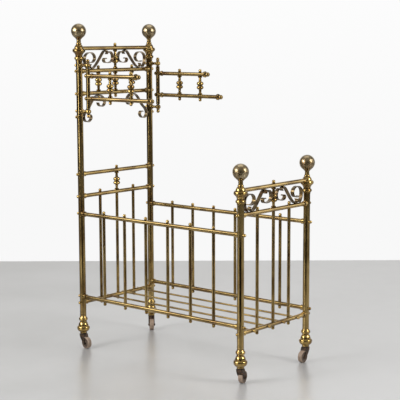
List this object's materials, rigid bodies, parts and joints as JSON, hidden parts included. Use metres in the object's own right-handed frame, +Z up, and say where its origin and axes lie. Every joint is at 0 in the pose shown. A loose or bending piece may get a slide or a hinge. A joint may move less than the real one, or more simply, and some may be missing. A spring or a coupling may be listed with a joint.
{
  "type": "magazine rack",
  "caption": "Brass magazine rack shaped like a small half-tester bed: barred basket between posts with ball finials, scrolled end panels, two swinging arms, on casters.",
  "frame": {"origin": "on the floor, under the middle of the four posts", "axes": "+X from the tall head end to the low foot end, +Z up, +Y towards the right-hand side of someone who stands at the foot end and faces the head"},
  "size_m": [0.6784, 0.3602, 1.0113],
  "materials": {
    "brass_tube": "aged, satin",
    "brass_fittings": "aged, satin",
    "brass_castings": "aged, satin",
    "brass_balls": "aged, dull",
    "strap_metal": "dark lacquer, worn",
    "caster_iron": "blackened",
    "stud_steel": "plain",
    "wheel_composition": "worn"
  },
  "bodies": {
    "frame": {"arm_brackets_left": "brass_fittings", "arm_brackets_right": "brass_fittings", "arm_pivot_left": "brass_fittings", "arm_pivot_right": "brass_fittings", "ball_finials": "brass_balls", "cap_nuts": "brass_fittings", "corner_scrolls": "strap_metal", "finial_castings": "brass_castings", "floor_rod_nuts": "brass_fittings", "floor_rods": "brass_fittings", "foot_knobs": "brass_fittings", "foot_rail_base": "brass_tube", "foot_rail_panel_low": "brass_tube", "foot_rail_panel_top": "brass_tube", "foot_rods": "brass_fittings", "foot_scrolls": "strap_metal", "foot_spindles": "brass_fittings", "head_knobs": "brass_fittings", "head_rail_base": "brass_tube", "head_rail_crest": "brass_tube", "head_rail_frieze": "brass_tube", "head_rail_panel_low": "brass_tube", "head_rail_panel_top": "brass_tube", "head_rail_shoulder": "brass_tube", "head_rods": "brass_fittings", "head_scrolls": "strap_metal", "head_spindles": "brass_fittings", "post_foot_left": "brass_tube", "post_foot_right": "brass_tube", "post_head_left": "brass_tube", "post_head_right": "brass_tube", "rail_collars": "brass_tube", "rail_studs": "stud_steel", "side_knobs": "brass_fittings", "side_rail_base_left": "brass_tube", "side_rail_base_right": "brass_tube", "side_rail_top_left": "brass_tube", "side_rail_top_right": "brass_tube", "side_rods_left": "brass_fittings", "side_rods_right": "brass_fittings", "turned_foot_foot_left": "brass_castings", "turned_foot_foot_right": "brass_castings", "turned_foot_head_left": "brass_castings", "turned_foot_head_right": "brass_castings"},
    "arm_left": {"arm_tube_left": "brass_fittings", "arm_rails_left": "brass_fittings", "arm_spindles_left": "brass_fittings"},
    "arm_right": {"arm_tube_right": "brass_fittings", "arm_rails_right": "brass_fittings", "arm_spindles_right": "brass_fittings"},
    "fork_head_left": {"caster_fork_head_left": "caster_iron"},
    "wheel_head_left": {"caster_wheel_head_left": "wheel_composition"},
    "fork_head_right": {"caster_fork_head_right": "caster_iron"},
    "wheel_head_right": {"caster_wheel_head_right": "wheel_composition"},
    "fork_foot_left": {"caster_fork_foot_left": "caster_iron"},
    "wheel_foot_left": {"caster_wheel_foot_left": "wheel_composition"},
    "fork_foot_right": {"caster_fork_foot_right": "caster_iron"},
    "wheel_foot_right": {"caster_wheel_foot_right": "wheel_composition"}
  },
  "joints": [
    {"name": "arm_left_swing", "type": "hinge", "parent": "frame", "child": "arm_left", "pos_m": [-0.278, -0.157, 0.8145], "axis": [0, 0, 1], "range_deg": [-120, 30]},
    {"name": "arm_right_swing", "type": "hinge", "parent": "frame", "child": "arm_right", "pos_m": [-0.278, 0.157, 0.8145], "axis": [0, 0, 1], "range_deg": [-30, 120]},
    {"name": "swivel_head_left", "type": "hinge", "parent": "frame", "child": "fork_head_left", "pos_m": [-0.316, -0.157, 0.045], "axis": [0, 0, 1], "continuous": true},
    {"name": "roll_head_left", "type": "hinge", "parent": "fork_head_left", "child": "wheel_head_left", "pos_m": [-0.30016, -0.15923, 0.018], "axis": [0.1392, 0.9903, 0], "continuous": true},
    {"name": "swivel_head_right", "type": "hinge", "parent": "frame", "child": "fork_head_right", "pos_m": [-0.316, 0.157, 0.045], "axis": [0, 0, 1], "continuous": true},
    {"name": "roll_head_right", "type": "hinge", "parent": "fork_head_right", "child": "wheel_head_right", "pos_m": [-0.30449, 0.14588, 0.018], "axis": [0.6947, 0.7193, 0], "continuous": true},
    {"name": "swivel_foot_left", "type": "hinge", "parent": "frame", "child": "fork_foot_left", "pos_m": [0.316, -0.157, 0.045], "axis": [0, 0, 1], "continuous": true},
    {"name": "roll_foot_left", "type": "hinge", "parent": "fork_foot_left", "child": "wheel_foot_left", "pos_m": [0.31186, -0.14155, 0.018], "axis": [-0.9659, -0.2588, 0], "continuous": true},
    {"name": "swivel_foot_right", "type": "hinge", "parent": "frame", "child": "fork_foot_right", "pos_m": [0.316, 0.157, 0.045], "axis": [0, 0, 1], "continuous": true},
    {"name": "roll_foot_right", "type": "hinge", "parent": "fork_foot_right", "child": "wheel_foot_right", "pos_m": [0.31712, 0.14104, 0.018], "axis": [0.9976, 0.0698, 0], "continuous": true}
  ]
}
